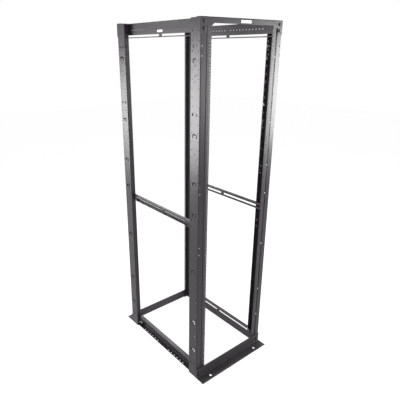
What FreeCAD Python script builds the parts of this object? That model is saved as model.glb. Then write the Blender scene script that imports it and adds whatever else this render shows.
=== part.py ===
import FreeCAD, Part
import Sketcher
import math
import os

# Four post open frame equipment rack, 45 rack units high, all of bent steel sheet.
# Millimetres. +Z is up, the front faces -Y and the origin is on the floor, in the middle of
# the footprint. The front left corner and the left side are modelled; the other corners and
# the right side are their mirror images.

doc = FreeCAD.newDocument("FourPostRack")

# ---------------------------------------------------------------- driving sizes
SIZES = [
    # whole frame
    ("rack_height", 2133.6),       # floor to the top of the posts
    ("rack_width", 592.0),         # over the outer webs of the posts
    ("rack_depth", 762.0),         # over the front and rear flanges of the posts
    # posts: channel of web, face flange and return flange
    ("post_sheet", 2.6),
    ("post_depth", 76.2),          # web, front to back
    ("post_face", 36.0),           # flange in the plane of the rack's front or rear
    ("post_return", 30.0),         # flange on the inner edge of the web
    ("post_bend", 4.0),            # outside radius of a bend
    # mounting rails: angle with the tapped holes
    ("rail_sheet", 2.6),
    ("rail_opening", 450.8),       # clear width between the two rails
    ("rail_gap", 5.0),             # groove between post flange and rail
    ("rail_face", 29.6),           # face with the holes
    ("rail_hole_edge", 7.15),      # hole centres from the free edge of the face
    ("rail_leg", 27.0),            # leg that runs back into the post
    ("rail_setback", 2.0),
    ("rail_bend", 3.8),
    ("unit_pitch", 44.45),
    ("unit_first", 76.2),          # floor to the bottom of the first unit
    ("unit_headroom", 57.0),       # least room above the last unit
    ("unit_hole_low", 6.35),
    ("unit_hole_middle", 22.225),
    ("unit_hole_high", 38.1),
    ("rail_hole", 6.4),
    # top headers
    ("header_sheet", 2.6),
    ("header_height", 25.4),       # plate between the posts
    ("header_shelf", 31.8),        # flange that turns back over the posts
    ("header_rail_drop", 36.5),    # plate over the end of a mounting rail
    ("header_leg_drop", 72.5),     # plate over the post flange
    ("header_leg_width", 37.0),
    ("header_gusset", 12.0),
    ("header_bend", 4.0),
    # base angles
    ("base_sheet", 4.0),
    ("base_flange", 67.0),         # out over the floor
    ("base_leg", 66.0),            # up the posts
    ("base_bend", 6.0),
    ("anchor_inset", 90.0),        # anchor hole from the end of the angle
    ("anchor_reach", 41.0),        # anchor hole from the face of the post
    ("anchor_hole", 18.0),
    # side braces, top and bottom
    ("brace_sheet", 2.2),
    ("brace_height", 77.0),
    ("brace_inset", 3.6),          # from the floor, or from the top of the posts
    ("brace_bend", 3.4),
    ("brace_wide_reach", 34.0),    # flange on the floor or at the top
    ("brace_narrow_reach", 27.0),  # flange beside the long slots
    ("brace_end", 12.0),           # web end from the face of the post
    ("brace_slot_height", 11.0),
    ("brace_slot_edge", 5.5),      # slot to the edge of the web
    ("brace_slot_end", 10.0),      # slot to the end of the web
    ("brace_bridge", 14.0),        # between the two long slots
    ("brace_flange_clear", 0.3),   # flange ends to the posts
    ("brace_dot", 6.4),
    ("brace_dot_pitch", 25.4),
    ("brace_dot_drop", 33.0),      # dot row from the top of the web
    ("brace_dot_end", 70.0),       # least distance of a dot from the end of the web
    ("foot_hole", 9.0),
    ("foot_hole_pitch", 31.75),
    ("foot_hole_edge", 9.0),
    ("foot_holes", 6),
    ("foot_hole_first", 66.0),     # first foot hole from the middle of the brace
    # side braces, middle
    ("middle_height", 1045.0),     # floor to the middle of the web
    ("middle_web", 41.6),
    ("middle_slot", 12.7),
    ("middle_reach", 17.0),
    ("middle_lip", 15.0),
    # punched features in the post webs
    ("lance_width", 36.0),
    ("lance_height", 22.0),
    ("lance_cut", 7.4),
    ("lance_corner", 5.0),         # its slanting upper corners
    ("lance_centre", 37.0),        # from the face of the post
    ("keyhole_width", 9.6),
    ("keyhole_height", 16.0),
    ("keyhole_near", 23.5),        # the two columns, from the face of the post
    ("keyhole_far", 53.5),
    ("web_dot", 6.0),
    ("web_dot_first", 119.2),      # floor to the first pair
    ("web_dot_near", 12.6),
    ("web_dot_far", 60.0),
    ("centre_hole", 7.0),
    ("stud_hole", 8.0),
    ("stud_hole_centre", 21.0),    # from the face of the post
    ("face_hole", 6.0),
    ("face_hole_edge", 10.0),
    ("face_hole_pitch", 44.45),
    # bolts
    ("bolt_hole", 9.0),
    ("bolt_column", 22.0),         # bolts in the post flange, from the outer web
    ("bolt_top_high", 18.5),       # from the top of the rack
    ("bolt_top_low", 51.0),
    ("bolt_base_low", 24.0),       # from the floor
    ("bolt_base_high", 48.0),
]

# Levels of the holes in the posts: the lower ones up from the floor, the upper ones down from
# the top of the posts.
LEVELS = {
    "lance_up": (202.0, 413.0, 766.0, 1124.0),
    "lance_down": (194.0, 563.6, 826.6),
    "keyhole_up": (98.0,),
    "keyhole_down": (128.6, 453.6),
    "facepair_up": (888.0,),
    "facepair_down": (171.6, 876.6),
    "centrehole_down": (216.4, 267.2, 292.6, 661.4),
    "studhole_up": (313.0,),
    "studhole_down": (259.2,),
}
for group, distances in LEVELS.items():
    for number, distance in enumerate(distances, start=1):
        SIZES.append(("%s_%d" % (group, number), distance))

sheet = doc.addObject("Spreadsheet::Sheet", "Sizes")
for row, (alias, value) in enumerate(SIZES, start=1):
    sheet.set("A%d" % row, alias)
    sheet.set("B%d" % row, str(value))
    sheet.setAlias("B%d" % row, alias)
doc.recompute()


class Size:
    """A length that knows its value and the spreadsheet expression it comes from."""

    def __init__(self, value, text):
        self.value = value
        self.text = text

    @staticmethod
    def of(other):
        return other if isinstance(other, Size) else Size(float(other), repr(float(other)))

    def __add__(self, other):
        other = Size.of(other)
        return Size(self.value + other.value, "(%s + %s)" % (self.text, other.text))

    def __sub__(self, other):
        other = Size.of(other)
        return Size(self.value - other.value, "(%s - %s)" % (self.text, other.text))

    def __mul__(self, other):
        other = Size.of(other)
        return Size(self.value * other.value, "(%s * %s)" % (self.text, other.text))

    def __truediv__(self, other):
        other = Size.of(other)
        return Size(self.value / other.value, "(%s / %s)" % (self.text, other.text))

    def __neg__(self):
        return Size(-self.value, "(0 - %s)" % self.text)

    def whole(self):
        """The whole number below, for a count."""
        return Size(float(math.floor(self.value)), "floor(%s)" % self.text)


def cell(alias):
    return Size(float(sheet.get(alias)), "Sizes.%s" % alias)


def levels(kind):
    """Every level of one kind of hole, as a height over the floor."""
    lower = [cell("%s_up_%d" % (kind, number + 1))
             for number in range(len(LEVELS.get(kind + "_up", ())))]
    upper = [cell("rack_height") - cell("%s_down_%d" % (kind, number + 1))
             for number in range(len(LEVELS.get(kind + "_down", ())))]
    return lower + upper


# ---------------------------------------------------------------- sketch and feature helpers
LEAST_CUT = 1.0        # mm3: a cut that takes less has missed the piece
SAME_PLACE = 1e-4      # mm: two corners this near are one


def new_body(label):
    body = doc.addObject("PartDesign::Body", label)
    body.Label = label
    return body


def new_sketch(body, plane, lift=None):
    """A sketch on an origin plane of the body, or lifted off it along the plane's normal."""
    sketch = body.newObject("Sketcher::SketchObject", body.Label + "_outline")
    origin_plane = [f for f in body.Origin.OriginFeatures if f.Role == plane][0]
    sketch.AttachmentSupport = (origin_plane, [""])
    sketch.MapMode = "FlatFace"
    if lift is not None:
        sketch.AttachmentOffset = FreeCAD.Placement(FreeCAD.Vector(0, 0, lift.value),
                                                    FreeCAD.Rotation())
        sketch.setExpression("AttachmentOffset.Base.z", lift.text)
    return sketch


def pin(sketch, geo, point, x, y):
    """Holds one point of the sketch at the sizes x, y from the origin."""
    for kind, size in (("DistanceX", x), ("DistanceY", y)):
        number = sketch.addConstraint(Sketcher.Constraint(kind, -1, 1, geo, point, size.value))
        sketch.setExpression("Constraints[%d]" % number, size.text)


def polygon(sketch, corners):
    """A closed outline of straight lines through the corners, each a pair of sizes."""
    corners = [(Size.of(x), Size.of(y)) for x, y in corners]
    first = sketch.GeometryCount
    count = len(corners)
    for i, (x, y) in enumerate(corners):
        next_x, next_y = corners[(i + 1) % count]
        sketch.addGeometry(Part.LineSegment(FreeCAD.Vector(x.value, y.value, 0),
                                            FreeCAD.Vector(next_x.value, next_y.value, 0)), False)
    for i, (x, y) in enumerate(corners):
        before = first + (i - 1) % count
        sketch.addConstraint(Sketcher.Constraint("Coincident", before, 2, first + i, 1))
        pin(sketch, first + i, 1, x, y)


def circle(sketch, x, y, diameter):
    x, y, diameter = Size.of(x), Size.of(y), Size.of(diameter)
    geo = sketch.addGeometry(Part.Circle(FreeCAD.Vector(x.value, y.value, 0),
                                         FreeCAD.Vector(0, 0, 1), diameter.value / 2), False)
    pin(sketch, geo, 3, x, y)
    number = sketch.addConstraint(Sketcher.Constraint("Diameter", geo, diameter.value))
    sketch.setExpression("Constraints[%d]" % number, diameter.text)


def obround(sketch, x1, y1, x2, y2, width):
    """A slot with round ends between two centres that lie on one level or above each other."""
    x1, y1, x2, y2 = Size.of(x1), Size.of(y1), Size.of(x2), Size.of(y2)
    radius = width / 2
    upright = abs(x1.value - x2.value) < abs(y1.value - y2.value)
    turn = 0 if upright else math.pi / 2
    ends = [(x2, y2, turn), (x1, y1, turn + math.pi)]
    if not upright:
        ends = [(x1, y1, turn), (x2, y2, turn + math.pi)]
    arcs = []
    for x, y, start in ends:
        round_end = Part.Circle(FreeCAD.Vector(x.value, y.value, 0), FreeCAD.Vector(0, 0, 1),
                                radius.value)
        arc = sketch.addGeometry(Part.ArcOfCircle(round_end, start, start + math.pi), False)
        pin(sketch, arc, 3, x, y)
        number = sketch.addConstraint(Sketcher.Constraint("Radius", arc, radius.value))
        sketch.setExpression("Constraints[%d]" % number, radius.text)
        level = "Horizontal" if upright else "Vertical"
        for end in (1, 2):
            sketch.addConstraint(Sketcher.Constraint(level, arc, end, arc, 3))
        arcs.append(arc)
    for start_arc, end_arc in (arcs, arcs[::-1]):
        begin = sketch.getPoint(start_arc, 2)
        finish = sketch.getPoint(end_arc, 1)
        line = sketch.addGeometry(Part.LineSegment(begin, finish), False)
        sketch.addConstraint(Sketcher.Constraint("Coincident", start_arc, 2, line, 1))
        sketch.addConstraint(Sketcher.Constraint("Coincident", line, 2, end_arc, 1))


def pad(body, sketch, length, midplane=False):
    feature = body.newObject("PartDesign::Pad", body.Label + "_pad")
    feature.Profile = sketch
    feature.Length = length.value
    feature.setExpression("Length", length.text)
    feature.Midplane = midplane
    doc.recompute()
    return feature


def cut_through(body, sketch, toward_normal=False):
    """Cuts the sketch through everything on one side of its plane, and stops if nothing was
    cut."""
    before = body.Shape.Volume
    feature = body.newObject("PartDesign::Pocket", body.Label + "_cut")
    feature.Profile = sketch
    feature.Type = 1
    feature.Reversed = toward_normal
    doc.recompute()
    if not body.Shape.Volume < before - LEAST_CUT:
        raise RuntimeError("%s of %s cuts nothing" % (feature.Name, body.Label))
    return feature


def repeat(body, feature, pitch, count):
    """Copies a cut upwards at an even pitch."""
    before = body.Shape.Volume
    pattern = body.newObject("PartDesign::LinearPattern", body.Label + "_row")
    pattern.Originals = [feature]
    axis = [f for f in body.Origin.OriginFeatures if f.Role == "Z_Axis"][0]
    pattern.Direction = (axis, [""])
    span = pitch * (count - 1)
    pattern.Length = span.value
    pattern.setExpression("Length", span.text)
    pattern.Occurrences = int(round(count.value))
    pattern.setExpression("Occurrences", count.text)
    body.Tip = pattern
    doc.recompute()
    if not body.Shape.Volume < before - LEAST_CUT:
        raise RuntimeError("row of %s cuts nothing" % body.Label)


def round_bends(body, base, axis, bends):
    """Rounds the edges that run along axis through the given corners. bends is a list of
    (corner, radius), where a corner is the pair of coordinates across the axis."""
    across = [i for i in range(3) if i != axis]
    feature = base
    for radius in sorted({r.text for _, r in bends}):
        group = [(c, r) for c, r in bends if r.text == radius]
        names = []
        for number, edge in enumerate(feature.Shape.Edges, start=1):
            start, end = edge.Vertexes[0].Point, edge.Vertexes[-1].Point
            if abs(start[axis] - end[axis]) < SAME_PLACE:
                continue
            for corner, _ in group:
                gaps = [abs(start[i] - c.value) + abs(end[i] - c.value)
                        for i, c in zip(across, corner)]
                if max(gaps) < SAME_PLACE:
                    names.append("Edge%d" % number)
        if len(names) != len(group):
            raise RuntimeError("%s has %d bends, not %d" % (body.Label, len(names), len(group)))
        fillet = body.newObject("PartDesign::Fillet", body.Label + "_bend")
        fillet.Base = (feature, names)
        fillet.Radius = group[0][1].value
        fillet.setExpression("Radius", radius)
        doc.recompute()
        feature = fillet


def mirror(source, label, normal, base=None):
    """The mirror image of a finished piece, in the plane through base with this normal."""
    copy = doc.addObject("Part::Mirroring", label)
    copy.Label = label
    copy.Source = source
    copy.Normal = normal
    if base is not None:
        copy.Base = (0, 0, base.value)
        copy.setExpression("Base.z", base.text)
    doc.recompute()
    return copy


ACROSS = (1, 0, 0)
ALONG = (0, 1, 0)
UP = (0, 0, 1)
parts = []

# ---------------------------------------------------------------- shared places
height = cell("rack_height")
left = -(cell("rack_width") / 2)           # outer face of the left posts
front = -(cell("rack_depth") / 2)          # face of the front posts
unit_count = ((height - cell("unit_first") - cell("unit_headroom")) / cell("unit_pitch")).whole()

# Beside the opening lie the post's flange, the groove and the rail's face. Where the listed
# widths of the two don't add up to the room there, they share it in the same ratio.
side_room = (cell("rack_width") - cell("rail_opening")) / 2 - cell("rail_gap")
side_fit = side_room / (cell("post_face") + cell("rail_face"))


def fitted(alias):
    """A listed width, fitted to the room beside the opening."""
    return cell(alias) * side_fit


rail_edge = -(cell("rail_opening") / 2)    # free edge of the left rails
rail_leg = left + fitted("post_face") + cell("rail_gap")     # outer face of their legs
bolt_column = left + fitted("bolt_column")


# ---------------------------------------------------------------- posts
def make_post():
    """Upright channel: web outside, face flange in front, return flange behind."""
    t = cell("post_sheet")
    inner = cell("post_bend") - t
    web = left
    rear = front + cell("post_depth")
    face_end = left + fitted("post_face")
    return_end = left + fitted("post_return")
    corners = [(face_end, front), (web, front), (web, rear), (return_end, rear),
               (return_end, rear - t), (web + t, rear - t), (web + t, front + t),
               (face_end, front + t)]
    body = new_body("front_left_post")
    outline = new_sketch(body, "XY_Plane")
    polygon(outline, corners)
    channel = pad(body, outline, height)
    round_bends(body, channel, 2,
                [(corners[1], cell("post_bend")), (corners[2], cell("post_bend")),
                 (corners[5], inner), (corners[6], inner)])

    # lanced cable tabs: an upside down U is cut round three sides of each tab
    web_cuts = new_sketch(body, "YZ_Plane")
    half = cell("lance_width") / 2
    cut = cell("lance_cut")
    corner = cell("lance_corner")
    middle = front + cell("lance_centre")
    for level in levels("lance"):
        top = level + cell("lance_height") / 2
        foot = level - cell("lance_height") / 2
        polygon(web_cuts, [(middle - half, foot), (middle - half, top - corner),
                           (middle - half + corner, top), (middle + half - corner, top),
                           (middle + half, top - corner), (middle + half, foot),
                           (middle + half - cut, foot), (middle + half - cut, top - cut),
                           (middle - half + cut, top - cut), (middle - half + cut, foot)])
    # pairs of upright slots
    reach = (cell("keyhole_height") - cell("keyhole_width")) / 2
    for level in levels("keyhole"):
        for column in ("keyhole_near", "keyhole_far"):
            y = front + cell(column)
            obround(web_cuts, y, level - reach, y, level + reach, cell("keyhole_width"))
    # single holes
    for level in levels("centrehole"):
        circle(web_cuts, front + cell("post_depth") / 2, level, cell("centre_hole"))
    for level in levels("studhole"):
        circle(web_cuts, front + cell("stud_hole_centre"), level, cell("stud_hole"))
    cut_through(body, web_cuts)

    # two columns of small holes, one pair to every rack unit
    dots = new_sketch(body, "YZ_Plane")
    for column in ("web_dot_near", "web_dot_far"):
        circle(dots, front + cell(column), cell("web_dot_first"), cell("web_dot"))
    repeat(body, cut_through(body, dots), cell("unit_pitch"), unit_count)

    # holes in the face flange, for the bolts of the header and the base angle and in pairs
    # between them; each goes on through the return flange behind it
    face_cuts = new_sketch(body, "XZ_Plane")
    for level in (height - cell("bolt_top_high"), height - cell("bolt_top_low"),
                  cell("bolt_base_low"), cell("bolt_base_high")):
        circle(face_cuts, bolt_column, level, cell("bolt_hole"))
    for level in levels("facepair"):
        for step in (0, 1):
            circle(face_cuts, left + fitted("face_hole_edge"),
                   level + cell("face_hole_pitch") * step, cell("face_hole"))
    cut_through(body, face_cuts, toward_normal=True)
    return body


# ---------------------------------------------------------------- mounting rails
def make_rail():
    """Upright angle: the face carries the tapped holes, the leg runs back into the post."""
    t = cell("rail_sheet")
    inner = cell("rail_bend") - t
    face = front + cell("rail_setback")
    leg_end = face + cell("rail_leg")
    corners = [(rail_edge, face), (rail_leg, face), (rail_leg, leg_end), (rail_leg + t, leg_end),
               (rail_leg + t, face + t), (rail_edge, face + t)]
    body = new_body("front_left_rail")
    outline = new_sketch(body, "XY_Plane")
    polygon(outline, corners)
    angle = pad(body, outline, height)
    round_bends(body, angle, 2, [(corners[1], cell("rail_bend")), (corners[4], inner)])

    unit = new_sketch(body, "XZ_Plane")
    for level in ("unit_hole_low", "unit_hole_middle", "unit_hole_high"):
        circle(unit, rail_edge - cell("rail_hole_edge"), cell("unit_first") + cell(level),
               cell("rail_hole"))
    repeat(body, cut_through(body, unit, toward_normal=True), cell("unit_pitch"), unit_count)
    return body


# ---------------------------------------------------------------- top header
def make_header():
    """Angle across the top: a shelf over the posts and a plate that drops over their faces."""
    t = cell("header_sheet")
    inner = cell("header_bend") - t
    top = height + t
    low = height - cell("header_leg_drop")
    back = front + cell("header_shelf")
    corners = [(front - t, top), (back, top), (back, height), (front, height), (front, low),
               (front - t, low)]
    body = new_body("front_top_header")
    outline = new_sketch(body, "YZ_Plane")
    polygon(outline, corners)
    angle = pad(body, outline, cell("rack_width"), midplane=True)
    round_bends(body, angle, 0, [(corners[0], cell("header_bend")), (corners[3], inner)])

    # the plate is cut back between the posts, with a slanting corner at each end
    opening = new_sketch(body, "XZ_Plane")
    leg = left + fitted("header_leg_width")
    gusset = rail_edge + cell("header_gusset")
    rail_low = height - cell("header_rail_drop")
    plate_low = height - cell("header_height")
    polygon(opening, [(leg, 0), (leg, rail_low), (rail_edge, rail_low), (gusset, plate_low),
                      (-gusset, plate_low), (-rail_edge, rail_low), (-leg, rail_low), (-leg, 0)])
    cut_through(body, opening, toward_normal=True)

    bolts = new_sketch(body, "XZ_Plane")
    for side in (1, -1):
        for drop in ("bolt_top_high", "bolt_top_low"):
            circle(bolts, bolt_column * side, height - cell(drop), cell("bolt_hole"))
    cut_through(body, bolts, toward_normal=True)
    return body


# ---------------------------------------------------------------- base angle
def make_base():
    """Angle on the floor: the leg stands against the posts, the flange takes the anchors."""
    t = cell("base_sheet")
    inner = cell("base_bend") - t
    toe = front - cell("base_flange")
    floor = Size.of(0)
    corners = [(front, floor), (toe, floor), (toe, t), (front - t, t),
               (front - t, cell("base_leg")), (front, cell("base_leg"))]
    body = new_body("front_base_angle")
    outline = new_sketch(body, "YZ_Plane")
    polygon(outline, corners)
    angle = pad(body, outline, cell("rack_width"), midplane=True)
    round_bends(body, angle, 0, [(corners[0], cell("base_bend")), (corners[3], inner)])

    anchors = new_sketch(body, "XY_Plane")
    bolts = new_sketch(body, "XZ_Plane")
    for side in (1, -1):
        circle(anchors, (left + cell("anchor_inset")) * side, front - cell("anchor_reach"),
               cell("anchor_hole"))
        for level in ("bolt_base_low", "bolt_base_high"):
            circle(bolts, bolt_column * side, cell(level), cell("bolt_hole"))
    cut_through(body, anchors, toward_normal=True)
    cut_through(body, bolts, toward_normal=True)
    return body


# ---------------------------------------------------------------- side braces
brace_web = rail_leg - cell("brace_sheet")       # outer face of a web, against the rail's leg
brace_length = cell("rack_depth") - cell("brace_end") * 2


def make_channel(label, corners, bends):
    """Bends the outline up along the side of the rack. The flanges stop short of the posts'
    return flanges, and only the web goes on into the posts."""
    body = new_body(label)
    outline = new_sketch(body, "XZ_Plane")
    polygon(outline, corners)
    channel = pad(body, outline, brace_length, midplane=True)
    round_bends(body, channel, 1, bends)
    flange_end = front + cell("post_depth") + cell("brace_flange_clear")
    notches = new_sketch(body, "XY_Plane")
    for side in (1, -1):
        polygon(notches, [(left, front * side), (brace_web, front * side),
                          (brace_web, flange_end * side), (left, flange_end * side)])
    cut_through(body, notches, toward_normal=True)
    return body


def long_slots(sketch, level, width):
    """Two long slots in one line, with a bridge between them at the middle of the brace."""
    inside = (cell("brace_bridge") + width) / 2
    outside = brace_length / 2 - cell("brace_slot_end") - width / 2
    for side in (1, -1):
        obround(sketch, inside * side, level, outside * side, level, width)


def make_top_brace():
    """Channel for the top of a side: slots low in the web, a row of small holes above them,
    and a wide flange with two groups of holes at the top."""
    t = cell("brace_sheet")
    bend = cell("brace_bend")
    web_inside = brace_web + t
    top = height - cell("brace_inset")
    low = top - cell("brace_height")
    top_end = web_inside - fitted("brace_wide_reach")
    low_end = web_inside - fitted("brace_narrow_reach")
    corners = [(web_inside, low), (web_inside, top), (top_end, top), (top_end, top - t),
               (brace_web, top - t), (brace_web, low + t), (low_end, low + t), (low_end, low)]
    bends = [(corners[0], bend), (corners[1], bend), (corners[4], bend - t),
             (corners[5], bend - t)]
    body = make_channel("left_top_brace", corners, bends)

    web_cuts = new_sketch(body, "YZ_Plane")
    slot = cell("brace_slot_height")
    long_slots(web_cuts, low + cell("brace_slot_edge") + slot / 2, slot)
    pitch = cell("brace_dot_pitch")
    dots = (brace_length / 2 - cell("brace_dot_end")) / pitch
    for side in (1, -1):
        for number in range(1, int(dots.value) + 1):
            circle(web_cuts, pitch * number * side, top - cell("brace_dot_drop"),
                   cell("brace_dot"))
    cut_through(body, web_cuts)

    flange_holes = new_sketch(body, "XY_Plane", (top + low) / 2)
    for side in (1, -1):
        for number in range(int(cell("foot_holes").value)):
            place = cell("foot_hole_first") + cell("foot_hole_pitch") * number
            circle(flange_holes, top_end + cell("foot_hole_edge"), place * side,
                   cell("foot_hole"))
    cut_through(body, flange_holes, toward_normal=True)
    return body


def make_middle_brace():
    """Narrow channel at half height: two long slots along the middle of its web, and a lip on
    the edge of its top flange."""
    t = cell("brace_sheet")
    bend = cell("brace_bend")
    web_inside = brace_web + t
    top = cell("middle_height") + cell("middle_web") / 2
    low = cell("middle_height") - cell("middle_web") / 2
    end = web_inside - fitted("middle_reach")
    lip = top - cell("middle_lip")
    corners = [(web_inside, low), (web_inside, top), (end, top), (end, lip), (end + t, lip),
               (end + t, top - t), (brace_web, top - t), (brace_web, low + t), (end, low + t),
               (end, low)]
    bends = [(corners[0], bend), (corners[1], bend), (corners[2], bend),
             (corners[5], bend - t), (corners[6], bend - t), (corners[7], bend - t)]
    body = make_channel("left_middle_brace", corners, bends)

    web_cuts = new_sketch(body, "YZ_Plane")
    long_slots(web_cuts, cell("middle_height"), cell("middle_slot"))
    cut_through(body, web_cuts)
    return body


# ---------------------------------------------------------------- assembly
post = make_post()
rail = make_rail()
for piece, name in ((post, "post"), (rail, "rail")):
    parts.append(piece)
    parts.append(mirror(piece, "front_right_" + name, ACROSS))
    rear_left = mirror(piece, "rear_left_" + name, ALONG)
    parts.append(rear_left)
    parts.append(mirror(rear_left, "rear_right_" + name, ACROSS))
for piece, name in ((make_header(), "rear_top_header"), (make_base(), "rear_base_angle")):
    parts.append(piece)
    parts.append(mirror(piece, name, ALONG))
top_brace = make_top_brace()
bottom_brace = mirror(top_brace, "left_bottom_brace", UP, height / 2)
middle_brace = make_middle_brace()
for piece, name in ((top_brace, "top"), (middle_brace, "middle"), (bottom_brace, "bottom")):
    parts.append(piece)
    parts.append(mirror(piece, "right_%s_brace" % name, ACROSS))

# ---------------------------------------------------------------- check and write
doc.recompute()
for thing in doc.Objects:
    if "Invalid" in thing.State or "Error" in thing.State:
        raise RuntimeError("%s (%s) did not compute" % (thing.Name, thing.Label))
for piece in parts:
    shape = piece.Shape
    if shape.isNull() or not shape.isValid() or len(shape.Solids) != 1 or shape.Volume <= 0:
        raise RuntimeError("%s has no sound solid" % piece.Label)

os.makedirs("parts", exist_ok=True)
for piece in parts:
    piece.Shape.exportStep(os.path.join("parts", piece.Label + ".step"))
    box = piece.Shape.BoundBox
    print("%-20s %9.1f mm3  x %7.1f %7.1f  y %7.1f %7.1f  z %7.1f %7.1f"
          % (piece.Label, piece.Shape.Volume, box.XMin, box.XMax, box.YMin, box.YMax,
             box.ZMin, box.ZMax))
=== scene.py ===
import math

import bpy
import numpy as np
from mathutils import Matrix, Vector


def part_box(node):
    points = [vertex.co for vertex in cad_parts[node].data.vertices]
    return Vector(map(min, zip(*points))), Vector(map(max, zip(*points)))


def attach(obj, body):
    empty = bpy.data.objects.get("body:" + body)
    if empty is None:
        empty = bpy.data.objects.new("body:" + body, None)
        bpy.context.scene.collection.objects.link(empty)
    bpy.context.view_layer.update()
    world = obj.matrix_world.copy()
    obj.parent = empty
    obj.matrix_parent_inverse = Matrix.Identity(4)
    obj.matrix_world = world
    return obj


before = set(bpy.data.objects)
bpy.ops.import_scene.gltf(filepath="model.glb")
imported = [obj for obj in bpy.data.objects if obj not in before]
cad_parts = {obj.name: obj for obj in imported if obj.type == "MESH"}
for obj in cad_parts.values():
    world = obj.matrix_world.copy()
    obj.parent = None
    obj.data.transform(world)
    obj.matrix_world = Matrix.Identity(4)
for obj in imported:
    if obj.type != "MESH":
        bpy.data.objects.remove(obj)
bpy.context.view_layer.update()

# ------------------------------------------------------------------ camera
# Just under the height of the rack's top, off the front left corner. The lens looks down, and
# the frame is shifted so that the rack stands left of the middle.
EYE = Vector((-1.6517, -1.9262, 1.9937))
HEADING = math.radians(38.33)      # from +Y towards +X
DOWNWARD = math.radians(20.65)
TILT = math.radians(-0.235)

looking = Vector((math.sin(HEADING) * math.cos(DOWNWARD), math.cos(HEADING) * math.cos(DOWNWARD),
                  -math.sin(DOWNWARD)))
level_right = Vector((math.cos(HEADING), -math.sin(HEADING), 0))
level_up = level_right.cross(looking)
camera_right = level_right * math.cos(TILT) + level_up * math.sin(TILT)
camera_up = level_up * math.cos(TILT) - level_right * math.sin(TILT)
turn = Matrix((camera_right, camera_up, -looking)).transposed()
camera_data = bpy.data.cameras.new("camera")
camera_data.sensor_width = 36.0
camera_data.lens = 36.51
camera_data.shift_x = 0.0524
camera_data.shift_y = 0.0043
camera = bpy.data.objects.new("camera", camera_data)
camera.matrix_world = Matrix.Translation(EYE) @ turn.to_4x4()
bpy.context.scene.collection.objects.link(camera)
bpy.context.scene.camera = camera
bpy.context.scene.view_settings.view_transform = "Standard"


# ------------------------------------------------------------------ posts
# Four upright channels of 2.6 mm steel sheet, punched, lanced and bent, then powder coated in
# satin black. The coat melts into a fine orange peel and takes a little dust and rubbing.
class Signal:
    """A shader socket that stands in sums and products, each of which adds a Math node."""

    def __init__(self, finish, socket):
        self.finish = finish
        self.socket = socket

    def _math(self, operation, other):
        return self.finish.node("ShaderNodeMath", {"operation": operation}, {0: self, 1: other})

    def __add__(self, other):
        return self._math("ADD", other)

    def __mul__(self, other):
        return self._math("MULTIPLY", other)

    __radd__ = __add__
    __rmul__ = __mul__


class Finish:
    """The nodes of one material, or of the world."""

    def __init__(self, owner):
        self.owner = owner
        owner.use_nodes = True
        self.tree = owner.node_tree
        self.tree.nodes.clear()

    @staticmethod
    def named(name):
        return Finish(bpy.data.materials.new(name))

    def node(self, kind, settings=None, sockets=None, output=0):
        """Adds a node: its settings first, then the values or signals of its sockets."""
        made = self.tree.nodes.new(kind)
        for name, value in (settings or {}).items():
            setattr(made, name, value)
        for name, value in (sockets or {}).items():
            if isinstance(value, Signal):
                self.tree.links.new(value.socket, made.inputs[name])
            else:
                made.inputs[name].default_value = value
        return None if output is None else Signal(self, made.outputs[output])

    def noise(self, scale, detail=2.0, stretch=(1, 1, 1)):
        """Smooth noise between 0 and 1, on Object coordinates that are stretched by a factor
        along each axis; scale is in cells a metre."""
        here = self.node("ShaderNodeTexCoord", output="Object")
        place = self.node("ShaderNodeMapping", {}, {"Vector": here, "Scale": stretch})
        return self.node("ShaderNodeTexNoise", {},
                         {"Vector": place, "Scale": scale, "Detail": detail})

    def blend(self, share, first, second):
        """A colour that goes from the first to the second as share goes from 0 to 1. The
        colours of a Mix node are its sockets 6 and 7, and its output 2."""
        return self.node("ShaderNodeMix", {"data_type": "RGBA"}, {0: share, 6: first, 7: second}, 2)

    def bump(self, distance, height):
        """Relief of the surface, which stands up by the distance where the height is 1."""
        return self.node("ShaderNodeBump", {}, {"Distance": distance, "Height": height})

    def looked_at(self):
        """1 for a ray from the eye, a mirror or glass, and 0 for one that only brings light."""
        return (self.node("ShaderNodeLightPath", output="Is Camera Ray")
                + self.node("ShaderNodeLightPath", output="Is Glossy Ray")
                + self.node("ShaderNodeLightPath", output="Is Transmission Ray"))

    def surface(self, shader, end="ShaderNodeOutputMaterial"):
        """Ends the nodes with the shader, and gives back the material or world."""
        self.node(end, {}, {"Surface": shader}, None)
        return self.owner


SHINE = 0.25                    # specular level: the matting agent in the coat holds it down
PEEL_CELLS = 520.0              # cells a metre of the orange peel
PEEL_HEIGHT = 0.000045
SATIN_BLACK = (0.0135, 0.0110, 0.0138, 1)
DUSTED_BLACK = (0.0195, 0.0170, 0.0198, 1)


def powder_coat(name, colour, dusty, roughness):
    """Powder coat: colour drifts to the dusty one over tens of centimetres, roughness grows a
    little with the dust and with rub marks that run up the steel, and the peel is a fine bump."""
    coat = Finish.named(name)
    drift = coat.noise(5.0, 3.0)
    rubs = coat.noise(38.0, 4.0, (1.0, 1.0, 0.12))
    specks = coat.noise(2600.0, 1.0)
    peel = coat.noise(PEEL_CELLS, 3.0)
    return coat.surface(coat.node(
        "ShaderNodeBsdfPrincipled", {},
        {"Base Color": coat.blend(drift * 0.8 + rubs * 0.2, colour, dusty),
         "Specular IOR Level": SHINE,
         "Roughness": roughness - 0.05 + drift * 0.05 + rubs * 0.05,
         "Normal": coat.bump(PEEL_HEIGHT, peel + specks * 0.25)}))


def dress(node, material):
    """Gives a node of the frame its finish."""
    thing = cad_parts[node]
    thing.data.materials.clear()
    thing.data.materials.append(material)


ENDS = ("front", "rear")
SIDES = ("left", "right")
post_coat = powder_coat("post_satin_black", SATIN_BLACK, DUSTED_BLACK, 0.30)
for end in ENDS:
    for side in SIDES:
        dress("%s_%s_post" % (end, side), post_coat)

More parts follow.
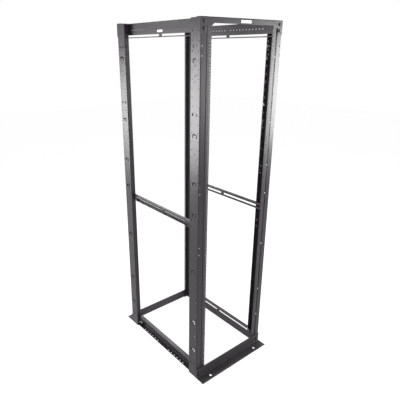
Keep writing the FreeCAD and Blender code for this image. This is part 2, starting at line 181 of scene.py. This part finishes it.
# ------------------------------------------------------------------ mounting rails
# Angles of 2.6 mm sheet with the round tapped holes. They are coated in the same black, in a
# thicker and rougher layer, because the coat is masked and touched up round the threads.
RAIL_BLACK = (0.0155, 0.0130, 0.0158, 1)
RAIL_DUSTED = (0.0225, 0.0200, 0.0228, 1)
rail_coat = powder_coat("rail_satin_black", RAIL_BLACK, RAIL_DUSTED, 0.38)
for end in ENDS:
    for side in SIDES:
        dress("%s_%s_rail" % (end, side), rail_coat)

# Three tapped holes to each rack unit in the face of every rail. The taps cut the coat away, so
# dull, oiled steel shows as thread ridges inside each hole.
UNITS = 45
FIRST_UNIT = 0.0762               # from the floor
UNIT_PITCH = 0.04445
UNIT_HOLES = (0.00635, 0.022225, 0.0381)      # heights within a unit
HOLE_FROM_EDGE = 0.00715          # from the free edge of the rail's face
THREAD = np.array([(0.00320, 0.00005), (0.00295, 0.00005), (0.00265, 0.00070),
                   (0.00292, 0.00130), (0.00265, 0.00190), (0.00295, 0.00255),
                   (0.00320, 0.00255)])       # radius and depth round the section
STEEL = (0.085, 0.083, 0.080, 1)
WIPED_STEEL = (0.130, 0.127, 0.122, 1)


def new_piece(name, points, face_blocks, material):
    """A mesh object at the origin that rides on the frame. Its faces come as arrays of corner
    numbers, a row to a face."""
    mesh = bpy.data.meshes.new(name)
    mesh.from_pydata(points.tolist(), [], [face for block in face_blocks for face in block.tolist()])
    mesh.materials.append(material)
    mesh.validate()
    piece = bpy.data.objects.new(name, mesh)
    bpy.context.scene.collection.objects.link(piece)
    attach(piece, "root")


def grained(name, cells, detail, colours, roughness, relief, metallic=0.0, stretch=(1, 1, 1),
            colour_cells=None):
    """A surface with a fine grain. Its roughness goes from the first value up by the second
    with the grain, its relief is a bump, and its colour runs between two, with the grain or
    over patches of its own size."""
    finish = Finish.named(name)
    grain = finish.noise(cells, detail, stretch)
    share = finish.noise(colour_cells) if colour_cells else grain
    smooth, spread = roughness
    return finish.surface(finish.node(
        "ShaderNodeBsdfPrincipled", {},
        {"Base Color": finish.blend(share, *colours), "Metallic": metallic,
         "Roughness": smooth + grain * spread, "Normal": finish.bump(relief, grain)}))


def thread_sleeves(name, centres, material, around=10):
    """A ring in every hole. Its section is a closed outline of radius and depth, turned about
    the axis of the hole: a point is the radius times the cosine and sine of the turn, at the
    depth, which is counted from the outer face towards the middle of the rack."""
    turns = np.linspace(0, 2 * math.pi, around, endpoint=False)
    radius, depth = THREAD.T
    ring = np.arange(radius.size * around).reshape(radius.size, around)
    after = np.roll(ring, -1, axis=1)
    quads = np.stack([ring, after, np.roll(after, -1, axis=0), np.roll(ring, -1, axis=0)],
                     axis=-1).reshape(-1, 4)
    shapes, joined = [], []
    for number, (x, y, z) in enumerate(centres):
        inward = -math.copysign(1.0, y)
        shapes.append(np.stack([x + np.outer(radius, np.cos(turns)),
                                y + np.outer(depth, np.ones(around)) * inward,
                                z + np.outer(radius, np.sin(turns))], axis=-1).reshape(-1, 3))
        turned = quads if inward > 0 else quads[:, ::-1]
        joined.append(turned + number * ring.size)
    new_piece(name, np.concatenate(shapes), joined, material)


thread_steel = grained("thread_dull_steel", 700.0, 3.0, (STEEL, WIPED_STEEL), (0.42, 0.18),
                       0.00004, metallic=1.0)
rail_low, rail_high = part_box("front_left_rail")
hole_column = rail_high.x - HOLE_FROM_EDGE
centres = [(across, rail_low.y * along, FIRST_UNIT + unit * UNIT_PITCH + step)
           for across in (hole_column, -hole_column) for along in (1, -1)
           for unit in range(UNITS) for step in UNIT_HOLES]
thread_sleeves("rail_threads", centres, thread_steel)

# ------------------------------------------------------------------ top headers
# Angles of 2.6 mm sheet across the top, front and rear, in the same black coat. Their ears are
# bolted to the faces of the posts, so they tie the posts and the rails together.
header_coat = powder_coat("header_satin_black", SATIN_BLACK, DUSTED_BLACK, 0.33)
for end in ENDS:
    dress("%s_top_header" % end, header_coat)


def closed_rings(count, around):
    """Faces of a stack of rings of equal length, each side strip made of quads that run round
    and back to the start, with one point before the first ring and one after the last."""
    ring = np.arange(count * around).reshape(count, around)
    after = np.roll(ring, -1, axis=1)
    strips = np.stack([ring[:-1], after[:-1], after[1:], ring[1:]], axis=-1).reshape(-1, 4)
    bottom, top = count * around, count * around + 1
    low_cap = np.stack([after[0], ring[0], np.full(around, bottom)], axis=-1)
    high_cap = np.stack([ring[-1], after[-1], np.full(around, top)], axis=-1)
    return [strips, low_cap, high_cap]


def rounded_plate(width, height, corner, rings, steps=6):
    """A thin plate in the plane of its first two axes. Its outline is a rectangle whose corners
    are quarter circles: a point at an angle of the quarter, from a centre set in by the radius.
    Each ring draws that outline in by an inset at a height along the third axis."""
    quarter = np.linspace(0, math.pi / 2, steps)
    turns = np.concatenate([quarter + math.pi / 2 * n for n in range(4)])
    sign_x = np.repeat([1, -1, -1, 1], steps)
    sign_y = np.repeat([1, 1, -1, -1], steps)
    shape = []
    for inset, rise in rings:
        radius = corner - inset
        shape.append(np.stack([sign_x * (width / 2 - corner) + radius * np.cos(turns),
                               sign_y * (height / 2 - corner) + radius * np.sin(turns),
                               np.full(turns.size, rise)], axis=-1))
    ends = [[0, 0, rings[0][1]], [0, 0, rings[-1][1]]]
    return np.concatenate(shape + [ends]), closed_rings(len(rings), turns.size)


# The badge is a blank, pale moulded plate with a soft edge, glued on the front header.
BADGE_WIDTH, BADGE_HEIGHT, BADGE_THICK = 0.074, 0.0135, 0.0010
BADGE_CORNER, BADGE_SOFT_EDGE = 0.002, 0.0003
BADGE_OFF_CENTRE = 0.007
BADGE_UNDER_TOP = 0.0155
BADGE_GREYS = ((0.72, 0.73, 0.74, 1), (0.80, 0.80, 0.80, 1))
badge_plastic = grained("badge_pale_grey", 900.0, 3.0, BADGE_GREYS, (0.38, 0.12), 0.00003,
                        colour_cells=60.0)
header_low, header_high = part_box("front_top_header")
points, faces = rounded_plate(BADGE_WIDTH, BADGE_HEIGHT, BADGE_CORNER,
                              [(0, 0), (0, BADGE_THICK * 0.6), (BADGE_SOFT_EDGE, BADGE_THICK)])
points = np.stack([points[:, 0] + BADGE_OFF_CENTRE, header_low.y - points[:, 2],
                   points[:, 1] + header_high.z - BADGE_UNDER_TOP], axis=-1)
new_piece("blank_badge", points, faces, badge_plastic)

# Flanged hexagon bolts, black oxide, in the corners of the header, with nuts inside the posts.
BOLT_COLUMN = 0.022               # from the outer web of the post
HEADER_BOLT_DROPS = (0.0185, 0.051)
SHEET = 0.0026                    # of the posts and rails


def hexagon(turns, flat):
    """Radius of a hexagon at each angle: the distance of its flats, divided by the cosine of
    the angle from the middle of the nearest flat."""
    sixth = math.pi / 3
    return flat / np.cos((turns + sixth / 2) % sixth - sixth / 2)


def turned_rings(rings, around=24):
    """A fastener that stands on the third axis. Each ring has a height, a radius and a share
    between a circle and a hexagon of that radius over its flats."""
    turns = np.linspace(0, 2 * math.pi, around, endpoint=False)
    shape = []
    for rise, radius, six_sided in rings:
        reach = radius * (1 - six_sided) + hexagon(turns, radius) * six_sided
        shape.append(np.stack([reach * np.cos(turns), reach * np.sin(turns),
                               np.full(around, rise)], axis=-1))
    ends = [[0, 0, rings[0][0]], [0, 0, rings[-1][0]]]
    return np.concatenate(shape + [ends]), closed_rings(len(rings), around)


BOLT_HEAD = [(0.0, 0.0084, 0), (0.0008, 0.0086, 0), (0.0016, 0.0076, 0), (0.0018, 0.0065, 1),
             (0.0052, 0.0065, 1), (0.0060, 0.0062, 0.25), (0.0060, 0.0040, 0),
             (0.0054, 0.0036, 0)]
NUT = [(0.0, 0.0084, 0), (0.0008, 0.0086, 0), (0.0018, 0.0065, 1), (0.0066, 0.0065, 1),
       (0.0072, 0.0061, 0.2), (0.0072, 0.0041, 0), (0.0070, 0.0039, 0), (0.0094, 0.0039, 0),
       (0.0100, 0.0034, 0)]
OXIDE_BLACKS = ((0.018, 0.018, 0.020, 1), (0.055, 0.052, 0.050, 1))
HAND_TURN = math.radians(137.5)   # golden angle from one fastener to the next
bolt_oxide = grained("bolt_black_oxide", 420.0, 4.0, OXIDE_BLACKS, (0.30, 0.20), 0.00004,
                     metallic=0.6)


def fasteners(name, rings, seats, scale=1.0):
    """Copies of one fastener joined in one mesh. A seat is a place and the direction that the
    fastener stands up in; each copy is turned on from the last, as hand tightening does."""
    shape, faces = turned_rings(rings)
    shape = shape * scale
    copies, joined = [], []
    for number, (place, facing) in enumerate(seats):
        outward = Vector(facing)
        across = outward.orthogonal().normalized()
        axes = np.array([across, outward.cross(across), outward])
        cosine, sine = math.cos(HAND_TURN * number), math.sin(HAND_TURN * number)
        spin = np.array([[cosine, -sine, 0], [sine, cosine, 0], [0, 0, 1]])
        copies.append(shape @ spin.T @ axes + np.array(place))
        joined += [block + number * len(shape) for block in faces]
    new_piece(name, np.concatenate(copies), joined, bolt_oxide)


post_low, post_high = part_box("front_left_post")


def corner_fasteners(name, levels, face):
    """Bolts in the four corners, through a sheet with its outer face at that place on the front
    and its mirror image on the rear, and through the face of the post; the nuts stand inside."""
    column = post_low.x + BOLT_COLUMN
    heads, nuts = [], []
    for across in (column, -column):
        for along in (1, -1):
            for level in levels:
                heads.append(((across, face * along, level), (0, -along, 0)))
                nuts.append(((across, (post_low.y + SHEET) * along, level), (0, along, 0)))
    fasteners(name + "_bolts", BOLT_HEAD, heads)
    fasteners(name + "_nuts", NUT, nuts)


corner_fasteners("header", [post_high.z - drop for drop in HEADER_BOLT_DROPS], header_low.y)

# ------------------------------------------------------------------ base angles
# Heavy angles of 4 mm sheet across the feet of the posts, front and rear, bolted to the posts
# and anchored to the floor. The coat is painted greyer here, partly for dust on the flange and
# partly as painted light for the light that falls on the flange from above.
BASE_SHEET = 0.004
BASE_BOLT_LEVELS = (0.024, 0.048)
# Greyer than the posts' black over the whole angle: dust, and painted light from above.
BASE_LIT_BLACK = (0.0195, 0.0170, 0.0198, 1)
BASE_LIT_DUSTED = (0.0335, 0.0310, 0.0338, 1)
base_lit_coat = powder_coat("base_satin_black_painted_lit", BASE_LIT_BLACK, BASE_LIT_DUSTED, 0.42)
for end in ENDS:
    dress("%s_base_angle" % end, base_lit_coat)
corner_fasteners("base", BASE_BOLT_LEVELS, post_low.y - BASE_SHEET)

# ------------------------------------------------------------------ side braces
# Channels of 2.2 mm sheet from the front to the rear on each side, at the top, in the middle and
# on the floor, slotted to save weight. They lie inside the posts, bolted to the legs of the rails.
brace_coat = powder_coat("brace_satin_black", SATIN_BLACK, DUSTED_BLACK, 0.36)
for side in SIDES:
    for level in ("top", "middle", "bottom"):
        dress("%s_%s_brace" % (side, level), brace_coat)

# Two small bolts hold each end of a wide brace to the leg of the rail, and one each end of the
# middle brace. The heads are inside the post, the nuts on the rail.
BRACE_SHEET = 0.0022
WIDE_BOLT_LEVELS = (0.018, 0.046)        # from the wide flange
BRACE_BOLT_END = 0.0065                  # from the end of the web
BRACE_BOLT_SIZE = 0.75                   # of the bolts in the posts
rail_leg = rail_low.x


def brace_fasteners(name, rows):
    """Bolts and nuts at both ends of braces, on both sides of the rack. A row holds the box of
    a brace on the left side and the levels of its bolts."""
    heads, nuts = [], []
    for across in (1, -1):
        for (low, high), levels in rows:
            for along in (low.y + BRACE_BOLT_END, high.y - BRACE_BOLT_END):
                for level in levels:
                    heads.append((((rail_leg - BRACE_SHEET) * across, along, level),
                                  (-across, 0, 0)))
                    nuts.append((((rail_leg + SHEET) * across, along, level), (across, 0, 0)))
    fasteners(name + "_bolts", BOLT_HEAD, heads, BRACE_BOLT_SIZE)
    fasteners(name + "_nuts", NUT, nuts, BRACE_BOLT_SIZE)


top, middle, bottom = (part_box("left_%s_brace" % level) for level in ("top", "middle", "bottom"))
brace_fasteners("wide_brace", [(top, [top[1].z - step for step in WIDE_BOLT_LEVELS]),
                               (bottom, [bottom[0].z + step for step in WIDE_BOLT_LEVELS])])
brace_fasteners("middle_brace", [(middle, [(middle[0].z + middle[1].z) / 2])])

# A blank white paper label on the outside of the left top brace, at the middle.
LABEL_WIDTH, LABEL_HEIGHT, LABEL_THICK = 0.048, 0.011, 0.0002
LABEL_CORNER, LABEL_SOFT_EDGE = 0.001, 0.0001
LABEL_UNDER_TOP = 0.045
LABEL_WHITES = ((0.86, 0.86, 0.85, 1), (0.78, 0.78, 0.76, 1))
label_paper = grained("label_white_paper", 1500.0, 4.0, LABEL_WHITES, (0.55, 0.2), 0.00002,
                      stretch=(1.0, 0.3, 1.0))
points, faces = rounded_plate(LABEL_WIDTH, LABEL_HEIGHT, LABEL_CORNER,
                              [(0, 0), (0, LABEL_THICK * 0.5), (LABEL_SOFT_EDGE, LABEL_THICK)])
points = np.stack([rail_leg - BRACE_SHEET - points[:, 2], -points[:, 0],
                   points[:, 1] + top[1].z - LABEL_UNDER_TOP], axis=-1)
new_piece("blank_label", points, faces, label_paper)

# ------------------------------------------------------------------ floor and light
# A pale floor that shows white to the eye and keeps a soft shadow, soft boxes to the front right
# and the rear left, a high one behind, and a fill beside the camera that reaches into the posts.
FLOOR_REACH = 12.0
FLOOR_GREY = (0.80, 0.80, 0.80, 1)
WHITE = (1, 1, 1, 1)
FLOOR_GLOW = 1.22                 # with the shadowed paint under it, this comes out white
GLOW_SHARE = 0.75                 # of what the eye sees of the floor
ROOM_LIGHT = 0.35

floor_mesh = bpy.data.meshes.new("floor")
floor_mesh.from_pydata([(-FLOOR_REACH, -FLOOR_REACH, 0), (FLOOR_REACH, -FLOOR_REACH, 0),
                        (FLOOR_REACH, FLOOR_REACH, 0), (-FLOOR_REACH, FLOOR_REACH, 0)],
                       [], [(0, 1, 2, 3)])
floor = bpy.data.objects.new("floor", floor_mesh)
bpy.context.scene.collection.objects.link(floor)
paint = Finish.named("floor_paint")
plain = paint.node("ShaderNodeBsdfDiffuse", {}, {"Color": FLOOR_GREY})
glow = paint.node("ShaderNodeEmission", {}, {"Color": WHITE, "Strength": FLOOR_GLOW})
floor_mesh.materials.append(paint.surface(paint.node(
    "ShaderNodeMixShader", {}, {0: paint.looked_at() * GLOW_SHARE, 1: plain, 2: glow})))

world = bpy.data.worlds.new("studio")
bpy.context.scene.world = world
sky = Finish(world)
lit = sky.node("ShaderNodeBackground", {}, {"Color": WHITE, "Strength": ROOM_LIGHT})
seen = sky.node("ShaderNodeBackground", {}, {"Color": WHITE, "Strength": 1.0})
sky.surface(sky.node("ShaderNodeMixShader", {}, {0: sky.looked_at(), 1: lit, 2: seen}),
            "ShaderNodeOutputWorld")


def soft_box(name, place, aim, width, height, radiance):
    """An oval lamp at place that faces aim. Its power is the radiance of its face times pi and
    times its area, which is a quarter of pi times its width and height."""
    lamp = bpy.data.lights.new(name, "AREA")
    lamp.shape = "ELLIPSE"
    lamp.size = width
    lamp.size_y = height
    lamp.energy = radiance * math.pi * (math.pi / 4 * width * height)
    lamp_object = bpy.data.objects.new(name, lamp)
    facing = (Vector(aim) - Vector(place)).normalized()
    lamp_object.matrix_world = (Matrix.Translation(place)
                                @ facing.to_track_quat("-Z", "Y").to_matrix().to_4x4())
    lamp_object.visible_camera = False
    bpy.context.scene.collection.objects.link(lamp_object)


soft_box("front_right_box", (2.9, -2.15, 1.49), (0.2, 0, 1.49), 1.6, 1.45, 29.0)
soft_box("rear_left_box", (-2.4, 2.2, 1.24), (-0.2, 0, 1.24), 1.9, 1.6, 20.5)
soft_box("high_rear_box", (1.6, 2.6, 3.2), (0, 0, 1.0), 1.6, 1.2, 14.0)
soft_box("front_left_fill", (-3.0, -3.2, 2.0), (0, 0, 1.1), 2.0, 2.0, 12.0)
